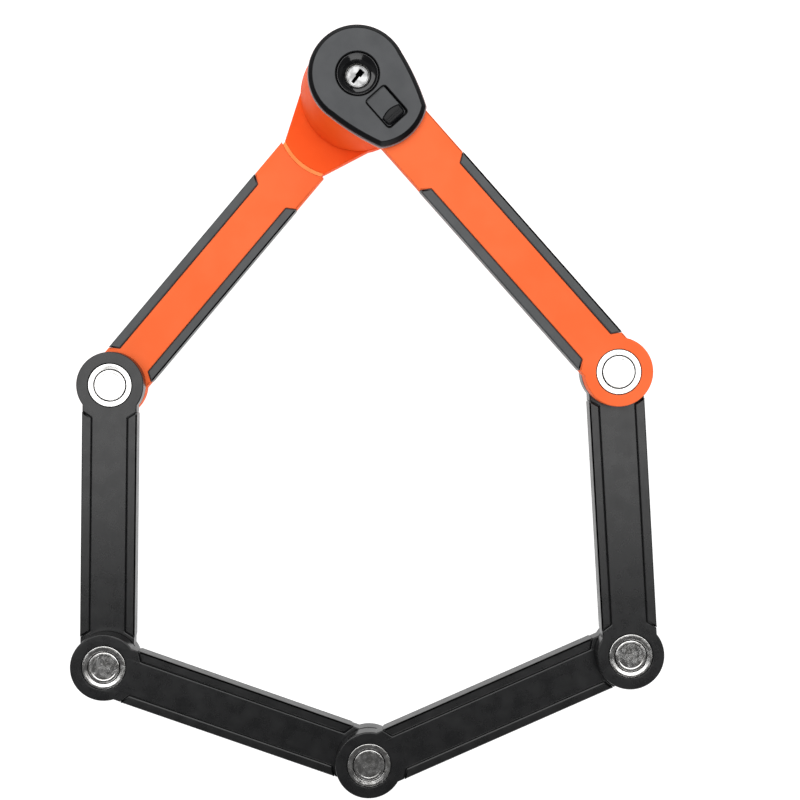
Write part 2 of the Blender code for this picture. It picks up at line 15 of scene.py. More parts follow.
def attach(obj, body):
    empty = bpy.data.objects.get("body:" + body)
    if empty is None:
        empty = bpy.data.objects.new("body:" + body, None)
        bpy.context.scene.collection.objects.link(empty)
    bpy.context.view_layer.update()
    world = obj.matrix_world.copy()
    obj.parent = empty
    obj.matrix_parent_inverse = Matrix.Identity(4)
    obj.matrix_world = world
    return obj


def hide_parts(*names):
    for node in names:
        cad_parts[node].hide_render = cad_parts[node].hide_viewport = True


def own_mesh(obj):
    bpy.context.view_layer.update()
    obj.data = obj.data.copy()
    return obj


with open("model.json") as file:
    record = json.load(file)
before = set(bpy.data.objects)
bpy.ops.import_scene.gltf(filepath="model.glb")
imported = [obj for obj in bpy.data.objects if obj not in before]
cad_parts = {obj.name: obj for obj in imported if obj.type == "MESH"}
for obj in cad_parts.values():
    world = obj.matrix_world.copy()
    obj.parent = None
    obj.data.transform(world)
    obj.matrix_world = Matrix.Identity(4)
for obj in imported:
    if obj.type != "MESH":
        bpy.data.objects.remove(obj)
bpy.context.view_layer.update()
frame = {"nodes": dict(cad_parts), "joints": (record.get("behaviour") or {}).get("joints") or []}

MM = 0.001

# Sizes shared with the CAD model
LEVEL = 7.0
THICK = 6.6
SKIN = 0.6
CLEAR = 0.3
EYE_R = 15.0
LINK_HALF = 12.1
ARM_HALF = 12.3
STRIP_PROUD = 0.2
STRIP_WIDE = 4.3
STRIP_SLANT = 2.8
STRIP_WALL = 1.4
STRIP_START = 11.9
STRIP_END = {"link": 114.1, "right_arm": 115.2, "left_arm": 114.8}
CAVITY_R = 14.1
CAVITY_INSET = 1.2                # from the edge of a cover to its cavity
SEAT_R = 9.95
COVER_END = 132.5
NOSE_CUT = 28.0
COLLAR_R = 25.7
COLLAR_FLARE = 156.2
NECK_HALF = 11.5
NECK_CAVITY = (126.2, 127.7, 8.8)
EYE_BORE_R = 6.9
HOUSING = (7.0, 35.0, 41.6)
SHOULDER_R = 20.6
CAP_R = 20.8
NOSE_CORNER = Vector((29.0, 12.8))
NOSE_TIP = 33.2
SIDE_SAG = 0.8
SIDE_LEAVE = 75.0                 # where a straight side of the head leaves its round end
CHAMBER = (9.0, 9.3)
BOLT_BORE_R = 6.6
GASKET = (41.8, 43.0)
CAP = (43.2, 46.0)
RECESS_R = 9.1
CHANNEL = (6.0, 26.4, 5.5)
BLADE = (43.5, 44.8)
BLADE_SPAN = (9.3, 25.3, 4.95)
THUMB = (19.6, 25.2, 45.9)
PLUG_R = 4.7
PLUG = (25.4, 41.3)
KEYWAY_DEPTH = 9.0
TANG = (3.4, 24.1)
SPRING = (9.6, 16.7)              # from its seat to the bolt's flange
SPRING_R = 7.6
SPRING_WIRE = 0.8
SPRING_TURNS = 3

# Sizes that are finer here than in the CAD model
STRIP_GAP = 0.12                  # round an edge strip
STRIP_TIP_R = 0.25                # corners of a strip, at its outer edge and inside
STRIP_CORNER_R = 0.7
NOTCH_TIP_R = 0.1                 # corners of its notch in the cover
NOTCH_CORNER_R = 0.8
STRIP_FILLET = 0.7
COVER_FILLET = 0.55
SEAT_FILLET = 0.25
WINDOW = (10.8, 25.85, 5.4)       # of the slider: near end, far end, half width
BLADE_PLAY = 0.2                  # over and under the slider's blade
DRUM_LAP = 1.5                    # the housing's drum runs this far up inside its top
KEYWAY_TURN = 100.0               # from the nose's direction, in degrees
SEAL_PROUD = 0.35                 # the seal bulges out past the cap
SPRING_ENDS = 0.12                # share of the spring's wire that lies flat at each end
THUMB_BOW = 1.2
RIDGE_WIDE = 0.5
RIDGE_PITCH = 0.9
RIDGE_COUNT = 3

# Fineness
EYE_STEPS = 48                    # segments in half a turn round an eye
HEAD_STEPS = 64
LATHE_STEPS = 96
CORNER_STEPS = 5
SHARP_ANGLE = 32                  # faces that meet at more degrees than this show an edge
WIRE_SIDES = 14
FLAT = [(0.0, 0.0)]

# Where the members lie
PIVOTS = {joint["name"]: Vector(joint["pos_m"]) for joint in frame["joints"] if "pos_m" in joint}
HEAD = PIVOTS["key_turn"]
CORNERS = [PIVOTS[name] for name in ("upper_right_pivot", "lower_right_pivot", "bottom_pivot",
                                     "lower_left_pivot", "upper_left_pivot")]
PITCH = (CORNERS[1].xy - CORNERS[0].xy).length / MM
RIGHT_ARM = (HEAD.xy - CORNERS[0].xy).length / MM
LEFT_ARM = (HEAD.xy - CORNERS[4].xy).length / MM
LINKS = ("right_link", "lower_right_link", "lower_left_link", "left_link")
RIVETS = (("upper_right", "lock_head"), ("lower_right", "right_link"), ("bottom", "lower_right_link"),
          ("lower_left", "lower_left_link"), ("upper_left", "left_link"))


# Outlines ------------------------------------------------------------------------------------------

def arc(centre, radius, start, end, count):
    """Points on an arc about a place on the X axis, both ends included."""
    angles = [math.radians(start + (end - start) * i / count) for i in range(count + 1)]
    return [(centre + radius * math.cos(a), radius * math.sin(a), 0.0) for a in angles]


def circle_hole(centre, radius, count=2 * EYE_STEPS):
    """A clockwise circle, as the edge of a hole."""
    return soften(arc(centre, radius, 360, 0, count)[:-1])


def soften(corners, closed=True):
    """Points of an outline whose corners are (x, y, radius)."""
    points = []
    last = len(corners) - 1
    for i, (x, y, radius) in enumerate(corners):
        here = Vector((x, y))
        if not radius or (not closed and i in (0, last)):
            points.append(here)
            continue
        before = Vector(corners[i - 1][:2]) - here
        after = Vector(corners[(i + 1) % len(corners)][:2]) - here
        reach = min(radius / math.tan(before.angle(after) / 2), before.length / 2, after.length / 2)
        start, end = here + before.normalized() * reach, here + after.normalized() * reach
        for step in range(CORNER_STEPS + 1):
            t = step / CORNER_STEPS
            points.append(start.lerp(here, t).lerp(here.lerp(end, t), t))
    return points


def mirrored(half):
    """A counterclockwise outline from its +Y half, which runs from the far end back to the near end."""
    return half + [(x, -y, r) for x, y, r in reversed(half) if y > 1e-6]


def flipped(outline):
    """An outline on the other side of the X axis."""
    return [(x, -y, r) for x, y, r in reversed(outline)]


def inset(outline, amount):
    """The outline moved to its left, corner by corner."""
    moved = []
    for i, here in enumerate(outline):
        a = (here - outline[i - 1]).normalized()
        b = (outline[(i + 1) % len(outline)] - here).normalized()
        left_a, left_b = Vector((-a.y, a.x)), Vector((-b.y, b.x))
        moved.append(here + (left_a + left_b) * (amount / (1 + left_a.dot(left_b))))
    return moved


def fillet(radius, steps=4):
    """(inset, drop) pairs from a wall to a face, round a quarter circle."""
    angles = [math.pi / 2 * i / steps for i in range(steps + 1)]
    return [(radius * (1 - math.cos(a)), radius * (1 - math.sin(a))) for a in angles]


# Meshes --------------------------------------------------------------------------------------------

def to_mesh(work):
    bmesh.ops.recalc_face_normals(work, faces=work.faces)
    mesh = bpy.data.meshes.new("shape")
    work.to_mesh(mesh)
    work.free()
    return mesh


def skin_rings(work, rings, closed):
    """Faces between successive rings of vertices; a ring of one vertex is a point on the axis."""
    pairs = list(zip(rings, rings[1:]))
    if closed:
        pairs.append((rings[-1], rings[0]))
    for lower, upper in pairs:
        for i in range(max(len(lower), len(upper))):
            n = i + 1
            corners = [lower[i % len(lower)], lower[n % len(lower)],
                       upper[n % len(upper)], upper[i % len(upper)]]
            work.faces.new(list(dict.fromkeys(corners)))


def plate(boundaries, low, high):
    """A flat plate. Each boundary is (outline, top edge, bottom edge): its rim first, then its holes."""
    work = bmesh.new()
    tops, bottoms = [], []
    for outline, top, bottom in boundaries:
        profile = [(i, low + drop) for i, drop in reversed(bottom)] + [(i, high - drop) for i, drop in top]
        rings = []
        for amount, z in profile:
            rings.append([work.verts.new((p.x, p.y, z)) for p in inset(outline, amount)])
        skin_rings(work, rings, False)
        bottoms.append(rings[0])
        tops.append(rings[-1])
    for rings in (tops, bottoms):
        verts = [vert for ring in rings for vert in ring]
        for triangle in tessellate_polygon([[vert.co for vert in ring] for ring in rings]):
            work.faces.new([verts[i] for i in triangle])
    bmesh.ops.scale(work, vec=(MM, MM, MM), verts=work.verts)
    return to_mesh(work)


def block(x0, x1, half, low, high):
    """A box about the X axis."""
    outline = soften([(x1, half, 0), (x0, half, 0), (x0, -half, 0), (x1, -half, 0)])
    return plate([(outline, FLAT, FLAT)], low, high)


def lathe(profile, closed=False, steps=LATHE_STEPS):
    """A turned mesh from (radius, height, corner radius) points."""
    work = bmesh.new()
    rings = []
    for r, z in soften(profile, closed):
        if r < 1e-6:
            rings.append([work.verts.new((0, 0, z * MM))])
            continue
        turns = [2 * math.pi * i / steps for i in range(steps)]
        rings.append([work.verts.new((r * math.cos(a) * MM, r * math.sin(a) * MM, z * MM)) for a in turns])
    skin_rings(work, rings, closed)
    return to_mesh(work)


def cylinder(radius, low, high, steps=LATHE_STEPS):
    return lathe([(0, high, 0), (radius, high, 0), (radius, low, 0), (0, low, 0)], steps=steps)


def combined(mesh, tool, operation="DIFFERENCE"):
    """One mesh cut by, or joined to, another."""
    pair = [bpy.data.objects.new("shape", mesh), bpy.data.objects.new("tool", tool)]
    for item in pair:
        bpy.context.scene.collection.objects.link(item)
    modifier = pair[0].modifiers.new("cut", "BOOLEAN")
    modifier.operation = operation
    modifier.solver = "EXACT"
    modifier.object = pair[1]
    graph = bpy.context.evaluated_depsgraph_get()
    result = bpy.data.meshes.new_from_object(pair[0].evaluated_get(graph))
    for item in pair:
        bpy.data.objects.remove(item)
    return result


def show(node, mesh, place, body, slot, *finishes):
    """Put a fine mesh in the place of its CAD node."""
    piece = bpy.data.objects.new(node + "_fine", mesh)
    bpy.context.scene.collection.objects.link(piece)
    piece.matrix_world = place
    for finish in finishes:
        mesh.materials.append(finish)
    mesh.shade_smooth()
    mesh.set_sharp_from_angle(angle=math.radians(SHARP_ANGLE))
    weighted = piece.modifiers.new("flat_faces_stay_flat", "WEIGHTED_NORMAL")
    weighted.keep_sharp = True
    weighted.weight = 100
    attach(piece, body)
    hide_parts(node)
    return piece


def placed(start, end, height):
    """The frame at start, at a height in millimetres, with +X towards end."""
    turn = math.atan2(end.y - start.y, end.x - start.x)
    return Matrix.Translation((start.x, start.y, height * MM)) @ Matrix.Rotation(turn, 4, "Z")


# Finishes ------------------------------------------------------------------------------------------

class Finish:
    """A Principled material whose colour, roughness and bump come from textures in object space."""

    def __init__(self, name, colour, roughness, metallic=0.0, coat=0.0):
        self.material = bpy.data.materials.new(name)
        self.material.use_nodes = True
        self.tree = self.material.node_tree
        self.shader = self.tree.nodes["Principled BSDF"]
        self.shader.inputs["Base Color"].default_value = (*colour, 1)
        self.shader.inputs["Roughness"].default_value = roughness
        self.shader.inputs["Metallic"].default_value = metallic
        self.shader.inputs["Coat Weight"].default_value = coat
        self.colour = colour
        self.place = self.tree.nodes.new("ShaderNodeTexCoord").outputs["Object"]
        self.normal = None

    def noise(self, size_mm, detail=3.0, stretch=(1, 1, 1)):
        """Noise whose grains are about size_mm across."""
        mapping = self.tree.nodes.new("ShaderNodeMapping")
        mapping.inputs["Scale"].default_value = stretch
        self.tree.links.new(self.place, mapping.inputs["Vector"])
        texture = self.tree.nodes.new("ShaderNodeTexNoise")
        texture.inputs["Scale"].default_value = 1 / (size_mm * MM)
        texture.inputs["Detail"].default_value = detail
        self.tree.links.new(mapping.outputs["Vector"], texture.inputs["Vector"])
        return texture.outputs["Fac"]

    def rings(self, pitch_mm, distortion):
        """Turning marks about the object's Z axis."""
        texture = self.tree.nodes.new("ShaderNodeTexWave")
        texture.wave_type = "RINGS"
        texture.rings_direction = "Z"
        texture.inputs["Scale"].default_value = math.pi / (10 * pitch_mm * MM)
        texture.inputs["Distortion"].default_value = distortion
        texture.inputs["Detail"].default_value = 2
        texture.inputs["Detail Scale"].default_value = 3
        self.tree.links.new(self.place, texture.inputs["Vector"])
        return texture.outputs["Fac"]

    def scratches(self, size_mm, width):
        """Thin lines along the edges of stretched cells."""
        texture = self.tree.nodes.new("ShaderNodeTexVoronoi")
        texture.feature = "DISTANCE_TO_EDGE"
        texture.inputs["Scale"].default_value = 1 / (size_mm * MM)
        mapping = self.tree.nodes.new("ShaderNodeMapping")
        mapping.inputs["Scale"].default_value = (1, 0.16, 1)
        mapping.inputs["Rotation"].default_value = (0, 0, 0.7)
        self.tree.links.new(self.place, mapping.inputs["Vector"])
        self.tree.links.new(mapping.outputs["Vector"], texture.inputs["Vector"])
        return self.spread(texture.outputs["Distance"], 0.0, width, 1.0, 0.0)

    def spread(self, value, low, high, to_low, to_high):
        """A value from low to high, mapped on to another range and held there."""
        node = self.tree.nodes.new("ShaderNodeMapRange")
        for socket, number in zip(("From Min", "From Max", "To Min", "To Max"), (low, high, to_low, to_high)):
            node.inputs[socket].default_value = number
        self.tree.links.new(value, node.inputs["Value"])
        return node.outputs["Result"]

    def mottle(self, value, other, low=0.35, high=0.65):
        """Blend the base colour towards another where the value is high."""
        mix = self.tree.nodes.new("ShaderNodeMix")
        mix.data_type = "RGBA"
        current = self.shader.inputs["Base Color"]
        if current.is_linked:
            self.tree.links.new(current.links[0].from_socket, mix.inputs["A"])
        else:
            mix.inputs["A"].default_value = (*self.colour, 1)
        mix.inputs["B"].default_value = (*other, 1)
        self.tree.links.new(self.spread(value, low, high, 0, 1), mix.inputs["Factor"])
        self.tree.links.new(mix.outputs["Result"], current)
        return self

    def sheen(self, value, low, high):
        """Let the roughness run from low to high with the value."""
        self.tree.links.new(self.spread(value, 0.3, 0.7, low, high), self.shader.inputs["Roughness"])
        return self

    def bump(self, value, height_mm, strength=1.0):
        """Raise the surface by the value; bumps add up."""
        node = self.tree.nodes.new("ShaderNodeBump")
        node.inputs["Strength"].default_value = strength
        node.inputs["Distance"].default_value = height_mm * MM
        self.tree.links.new(value, node.inputs["Height"])
        if self.normal:
            self.tree.links.new(self.normal, node.inputs["Normal"])
        self.normal = node.outputs["Normal"]
        self.tree.links.new(self.normal, self.shader.inputs["Normal"])
        return self


def moulded(name, colour, shade, roughness, specular, grain_mm, grain_height):
    """Moulded plastic: a fine spark-eroded grain and slight flow marks."""
    finish = Finish(name, colour, roughness)
    finish.shader.inputs["Specular IOR Level"].default_value = specular
    finish.mottle(finish.noise(18, 2), shade)
    finish.sheen(finish.noise(7, 4), roughness - 0.05, roughness + 0.06)
    finish.bump(finish.noise(grain_mm, 2), grain_height)
    return finish.material


def turned_metal(name, colour, shade, roughness, pitch_mm, mark_mm):
    """Turned metal with fine rings, blotches and a few scratches."""
    finish = Finish(name, colour, roughness, 1.0)
    finish.mottle(finish.noise(2.6, 4), shade, 0.42, 0.62)
    finish.sheen(finish.noise(1.8, 4), roughness - 0.07, roughness + 0.1)
    finish.bump(finish.rings(pitch_mm, 1.5), mark_mm, 0.5)
    finish.bump(finish.scratches(4, 0.02), mark_mm, 0.4)
    return finish.material


ORANGE = moulded("orange_moulding", (0.97, 0.172, 0.054), (0.95, 0.155, 0.044), 0.55, 0.05, 0.35, 0.012)
BLACK = moulded("black_moulding", (0.01, 0.0102, 0.0108), (0.0075, 0.0077, 0.0082), 0.28, 0.5, 0.3, 0.008)
HOUSING_ORANGE = moulded("housing_orange", (0.98, 0.118, 0.019), (0.95, 0.1, 0.014), 0.52, 0.05, 0.35, 0.012)
# Paler, yellower orange: a painted highlight on the floor of the neck's groove
GROOVE_PAINTED_HIGHLIGHT = moulded("groove_painted_highlight", (1.0, 0.235, 0.02), (1.0, 0.38, 0.09), 0.4, 0.4, 0.35, 0.01)
STRIP = moulded("edge_strip", (0.01, 0.0102, 0.0106), (0.008, 0.0082, 0.0086), 0.29, 0.5, 0.4, 0.015)
ARM_STRIP = moulded("arm_strip", (0.044, 0.0475, 0.05), (0.038, 0.041, 0.043), 0.42, 0.5, 0.4, 0.02)
FACE = moulded("head_face", (0.042, 0.0445, 0.0485), (0.036, 0.0385, 0.042), 0.5, 0.5, 0.28, 0.03)
# Black for the cap's chamfer and walls and the slider's rib; also painted shade on the housing's top under
# the cap
RIM_AND_PAINTED_SHADE = moulded("head_rim_and_painted_shade", (0.004, 0.0042, 0.005), (0.003, 0.0032, 0.004), 0.36, 0.22, 0.4, 0.006)
SEAL = moulded("pale_seal", (0.38, 0.28, 0.28), (0.32, 0.23, 0.23), 0.5, 0.5, 0.5, 0.01)
NYLON = moulded("nylon_washer", (0.7, 0.68, 0.62), (0.62, 0.6, 0.54), 0.5, 0.5, 0.5, 0.01)
# Near-black painted shade inside the deep keyway
KEYWAY_PAINTED_SHADE = moulded("keyway_painted_shade", (0.01, 0.01, 0.01), (0.006, 0.006, 0.006), 0.6, 0.2, 0.3, 0.005)
RIVET = turned_metal("rivet_steel", (0.88, 0.875, 0.865), (0.68, 0.67, 0.65), 0.17, 0.22, 0.0015)
PLUG_STEEL = turned_metal("plug_steel", (0.4, 0.4, 0.4), (0.22, 0.22, 0.22), 0.3, 0.3, 0.003)
NICKEL = turned_metal("nickel_plated_brass", (0.2, 0.195, 0.18), (0.14, 0.135, 0.12), 0.3, 0.3, 0.004)


def glossy_black():
    finish = Finish("gloss_black", (0.006, 0.006, 0.007), 0.14, coat=0.3)
    finish.mottle(finish.noise(5, 2), (0.009, 0.009, 0.01))
    finish.sheen(finish.noise(2, 3), 0.1, 0.2)
    finish.bump(finish.rings(0.5, 0.6), 0.002, 0.4)
    return finish.material


def blackened_steel():
    """Hardened flat bar with a black oxide finish and rolling marks."""
    finish = Finish("core_steel", (0.03, 0.03, 0.032), 0.4, 1.0)
    finish.mottle(finish.noise(3, 4), (0.02, 0.02, 0.021))
    finish.sheen(finish.noise(2, 4), 0.32, 0.48)
    finish.bump(finish.noise(0.5, 3, (0.05, 1, 1)), 0.01, 0.5)
    return finish.material


def plain_steel():
    finish = Finish("lock_steel", (0.42, 0.42, 0.44), 0.35, 1.0)
    finish.mottle(finish.noise(2, 4), (0.33, 0.33, 0.34))
    finish.sheen(finish.noise(1.5, 4), 0.28, 0.45)
    finish.bump(finish.noise(0.4, 3), 0.006, 0.5)
    return finish.material


GLOSS = glossy_black()
CORE = blackened_steel()
LOCK_STEEL = plain_steel()


# Members -------------------------------------------------------------------------------------------

def notch(end, half):
    """Corners of the notch for an edge strip, from its far end back."""
    slope = STRIP_SLANT / STRIP_WIDE
    mouth = slope * STRIP_PROUD - STRIP_GAP * math.hypot(1, slope)
    depth = STRIP_WIDE + STRIP_GAP - STRIP_PROUD
    inner = mouth + slope * depth
    return [(end - mouth, half, NOTCH_TIP_R), (end - inner, half - depth, NOTCH_CORNER_R),
            (STRIP_START + inner, half - depth, NOTCH_CORNER_R), (STRIP_START + mouth, half, NOTCH_TIP_R)]


def near_eye(radius, half):
    leave = math.degrees(math.asin(half / radius))
    return arc(0, radius, leave, 180, EYE_STEPS)


def far_eye(centre, radius, half):
    leave = math.degrees(math.asin(half / radius))
    return arc(centre, radius, 0, 180 - leave, EYE_STEPS)


def cover(outline, cavity, places):
    """A moulded cover: rounded edges, a rounded hole at each rivet and a cavity for the steel core."""
    boundaries = [(soften(outline), fillet(COVER_FILLET), fillet(COVER_FILLET))]
    for place in places:
        edge = fillet(SEAT_FILLET, 2)
        boundaries.append((circle_hole(place, SEAT_R), edge, edge))
    mesh = plate(boundaries, 0, THICK)
    return combined(mesh, plate([(soften(cavity), FLAT, FLAT)], SKIN, THICK - SKIN))


def strip(end, half, side):
    """An edge strip: a soft trapezium with a groove for the core's edge."""
    edge = half + STRIP_PROUD
    inner = edge - STRIP_WIDE
    outline = [(STRIP_START, edge, STRIP_TIP_R), (STRIP_START + STRIP_SLANT, inner, STRIP_CORNER_R),
               (end - STRIP_SLANT, inner, STRIP_CORNER_R), (end, edge, STRIP_TIP_R)]
    if side < 0:
        outline = flipped(outline)
    mesh = plate([(soften(outline), fillet(STRIP_FILLET), fillet(STRIP_FILLET))], 0, THICK)
    return combined(mesh, block(0, end + 10, edge - STRIP_WALL, SKIN, THICK - SKIN))


def show_strips(member, place, body, end, half, outer_side, finish):
    for label, side in (("outer", outer_side), ("inner", -outer_side)):
        show(f"{member}_{label}_strip", strip(end, half, side), place, body, "edge_strip", finish)


def link(name, place):
    """A black link between two rivets."""
    end = STRIP_END["link"]
    outline = mirrored(far_eye(PITCH, EYE_R, LINK_HALF) + notch(end, LINK_HALF) + near_eye(EYE_R, LINK_HALF))
    half = LINK_HALF - CAVITY_INSET
    cavity = mirrored(far_eye(PITCH, CAVITY_R, half) + near_eye(CAVITY_R, half))
    show(f"{name}_cover", cover(outline, cavity, (0, PITCH)), place, name, "black_cover", BLACK)
    show_strips(name, place, name, end, LINK_HALF, 1, STRIP)


def right_arm(place):
    """The orange arm that runs in under the head."""
    end = STRIP_END["right_arm"]
    stop = RIGHT_ARM - NOSE_CUT - CLEAR
    outline = mirrored([(stop, ARM_HALF, 0.4)] + notch(end, ARM_HALF) + near_eye(EYE_R, ARM_HALF))
    half = ARM_HALF - CAVITY_INSET
    cavity = mirrored(far_eye(RIGHT_ARM, CAVITY_R, half) + near_eye(CAVITY_R, half))
    show("right_arm_cover", cover(outline, cavity, (0,)), place, "lock_head", "orange_cover", ORANGE)
    show_strips("right_arm", place, "lock_head", end, ARM_HALF, -1, ARM_STRIP)


NECK_EDGE = COVER_END + 1.2       # where the arm's cover ends, at its sides
NECK_SAG = 3.0                    # the groove at the neck bows this far towards the rivet
GROOVE_WIDE = 1.7
GROOVE_DEEP = 0.35
GROOVE_INSET = 0.25               # from the neck's sides to the groove's floor
GROOVE_GAP = 0.05                 # from the cover's end to the groove's floor
GROOVE_LAP = 1.5                  # the floor's length inside the collar


def neck_line(x, half, count=12):
    """Half of a line across the arm that bows towards the rivet, from its middle out to half."""
    steps = [half * i / count for i in range(count + 1)]
    return [(x - NECK_SAG * (1 - (y / ARM_HALF) ** 2), y, 0.0) for y in steps]


def left_core(radius, half):
    """The bar inside the left arm, narrower at the neck."""
    start, stop, narrow = NECK_CAVITY
    return mirrored(far_eye(LEFT_ARM, radius, narrow) + [(stop, narrow, 0), (start, half, 0)]
                    + near_eye(radius, half))


def left_arm(place):
    """The orange arm under the stack, and the collar with its curved groove and the bolt's slot; the groove's
    floor carries a painted highlight.
    """
    end = STRIP_END["left_arm"]
    half = ARM_HALF - CAVITY_INSET
    edge = neck_line(NECK_EDGE, ARM_HALF)
    outline = mirrored(edge + notch(end, ARM_HALF) + near_eye(EYE_R, ARM_HALF))
    cavity = left_core(CAVITY_R, half)
    show("left_arm_cover", cover(outline, cavity, (0,)), place, "left_arm", "orange_cover", ORANGE)
    show_strips("left_arm", place, "left_arm", end, ARM_HALF, 1, ARM_STRIP)

    start = math.degrees(math.acos((LEFT_ARM - COLLAR_FLARE) / COLLAR_R))
    ring = arc(LEFT_ARM, COLLAR_R, 0, 180 - start, HEAD_STEPS)
    neck = neck_line(NECK_EDGE + GROOVE_WIDE, NECK_HALF)
    rim = soften([*ring, *reversed(neck), *[(x, -y, r) for x, y, r in neck[1:]],
                  *[(x, -y, r) for x, y, r in reversed(ring[1:])]])
    slot = hole(mirrored(arc(LEFT_ARM, EYE_BORE_R, 0, 90, 16) + arc(RIGHT_ARM, EYE_BORE_R, 90, 180, 16)))
    mesh = plate([(rim, fillet(0.5), fillet(0.8)), (slot, fillet(0.3, 2), fillet(0.5, 3))], 0, THICK)
    floor_half = NECK_HALF - GROOVE_INSET
    near = neck_line(NECK_EDGE + GROOVE_GAP, floor_half)
    far = neck_line(NECK_EDGE + GROOVE_WIDE + GROOVE_LAP, floor_half)
    band = soften([*far, *reversed(near), *[(x, -y, r) for x, y, r in near[1:]],
                   *[(x, -y, r) for x, y, r in reversed(far[1:])]])
    mesh = combined(mesh, plate([(band, FLAT, FLAT)], GROOVE_DEEP, THICK - GROOVE_DEEP), "UNION")
    mesh = combined(mesh, plate([(soften(cavity), FLAT, FLAT)], SKIN, THICK - SKIN))
    show("left_arm_collar", mesh, place, "left_arm", "orange_cover", HOUSING_ORANGE, GROOVE_PAINTED_HIGHLIGHT)
    # Painted highlight: the groove's floor faces get the paler orange
    for face in mesh.polygons:
        drop = min(face.center.z, THICK * MM - face.center.z)
        if abs(drop - GROOVE_DEEP * MM) < 1e-6 and abs(face.normal.z) > 0.99:
            face.material_index = 1


# Rivets --------------------------------------------------------------------------------------------

def rivet(name, place, body):
    """A dished ring and a button on each side of the joint."""
    top, bottom = THICK - 0.2, 0.2 - LEVEL
    seat, low_seat = 4.6, 2.0 - LEVEL
    shank, button, inner, lip, outer = 4.5, 6.9, 7.35, 8.6, 9.65
    face = [(0, 0.06, 0), (5.4, 0.06, 0.2), (5.8, 0, 0.3), (button, 0, 0.3), (button, top - seat, 0)]
    pin = [(r, top - drop, radius) for r, drop, radius in face] + [(shank, seat, 0), (shank, low_seat, 0)]
    low_face = face[:-1] + [(button, low_seat - bottom, 0)]
    pin += [(r, bottom + drop, radius) for r, drop, radius in reversed(low_face)]
    dish = [(inner, 0.3, 0), (inner + 0.15, 0.15, 0.1), (lip, 0.03, 0), (lip + 0.1, 0, 0), (outer, 0, 0.2),
            (outer, top - seat, 0), (inner, top - seat, 0)]
    head = [(r, top - drop, radius) for r, drop, radius in dish]
    tail = [(r, bottom + drop, radius) for r, drop, radius in reversed(dish)]
    show(f"{name}_rivet", lathe(pin), place, body, "rivet_steel", RIVET)
    show(f"{name}_head_ring", lathe(head, True), place, body, "rivet_steel", RIVET)
    show(f"{name}_tail_ring", lathe(tail, True), place, body, "rivet_steel", RIVET)


# Head ----------------------------------------------------------------------------------------------

def head_half(shrink, stop=None):
    """The +Y half of the head's plan, from its nose round to the far side."""
    radius = CAP_R - shrink
    corner = NOSE_CORNER - Vector((shrink, shrink))
    leave = math.radians(SIDE_LEAVE)
    start = Vector((radius * math.cos(leave), radius * math.sin(leave)))

    def side(t):
        point = start.lerp(corner, t)
        return point.x, point.y + 4 * SIDE_SAG * t * (1 - t), 0.0

    round_end = arc(0, radius, SIDE_LEAVE, 180, HEAD_STEPS)[1:]
    if stop is not None:
        reach = (stop - start.x) / (corner.x - start.x)
        return [side(reach * (1 - i / 12)) for i in range(13)] + round_end
    tip = NOSE_TIP - shrink
    centre = (tip ** 2 - corner.length_squared) / (2 * (tip - corner.x))
    spread = math.degrees(math.atan2(corner.y, corner.x - centre))
    nose = arc(centre, tip - centre, 0, 0.82 * spread, 12)
    return nose + [(corner.x, corner.y, 3.0)] + [side(0.88 * (1 - i / 12)) for i in range(13)] + round_end


def hole(half_outline):
    """A closed outline turned clockwise, as the edge of a hole."""
    return list(reversed(soften(half_outline)))


def rounded_box(x0, x1, half, radius):
    return [(x1, half, radius), (x0, half, radius), (x0, -half, radius), (x1, -half, radius)]


def housing(place):
    """The orange housing: a tapered drum and the nose that holds the right arm; its top is painted dark as
    painted shade under the cap.
    """
    low, shoulder, high = HOUSING
    top_r = SHOULDER_R - (COLLAR_R - SHOULDER_R) * DRUM_LAP / (shoulder - low)
    drum = lathe([(0, shoulder + DRUM_LAP, 0), (top_r, shoulder + DRUM_LAP, 0), (COLLAR_R, low, 0.9),
                  (0, low, 0)], steps=2 * HEAD_STEPS)
    rim = soften(mirrored(head_half(0.2, NOSE_CUT)))
    top = plate([(rim, fillet(0.3, 2), fillet(0.5, 3))], shoulder, high)
    mesh = combined(drum, top, "UNION")
    half = ARM_HALF - CAVITY_INSET
    slot = mirrored([(NOSE_CUT + 5, half, 0)] + near_eye(CAVITY_R, half))
    for tool in (plate([(soften(slot), FLAT, FLAT)], shoulder + SKIN, high - SKIN),
                 cylinder(CHAMBER[0], CHAMBER[1], high + 1), cylinder(BOLT_BORE_R, low - 1, CHAMBER[1] + 1)):
        mesh = combined(mesh, tool)
    show("head_housing", mesh, place, "lock_head", "orange_cover", HOUSING_ORANGE, RIM_AND_PAINTED_SHADE)
    # Painted shade: the housing's top faces under the cap get the black rim finish
    for face in mesh.polygons:
        if face.normal.z > 0.5 and face.center.z > (high - 0.2) * MM:
            face.material_index = 1


def gasket(place):
    """The pale seal between the housing and the cap."""
    rim = soften(mirrored(head_half(-SEAL_PROUD)))
    inner = hole(mirrored(head_half(1.9)))
    mesh = plate([(rim, fillet(0.3, 3), fillet(0.3, 3)), (inner, FLAT, FLAT)], *GASKET)
    show("head_gasket", mesh, place, "lock_head", "pale_seal", SEAL)


def cap(place):
    """The cap: a textured face inside a blacker chamfer."""
    low, high = CAP
    chamfer = [(0.0, 1.7), (0.08, 1.45), (0.25, 1.2), (1.6, 0.15), (1.75, 0.05), (1.95, 0.0)]
    boundaries = [(soften(mirrored(head_half(0))), chamfer, fillet(0.25, 2)),
                  (circle_hole(0, RECESS_R), fillet(0.5, 4), FLAT),
                  (hole(rounded_box(*WINDOW, 1.6)), fillet(0.5, 4), FLAT)]
    mesh = combined(plate(boundaries, low, high), block(*CHANNEL, low - 1, BLADE[1] + BLADE_PLAY))
    piece = show("head_cap", mesh, place, "lock_head", "head_cap", FACE, RIM_AND_PAINTED_SHADE)
    for face in mesh.polygons:
        if face.normal.z < 0.99 or face.center.z < (high - 0.01) * MM:
            face.material_index = 1
    return piece


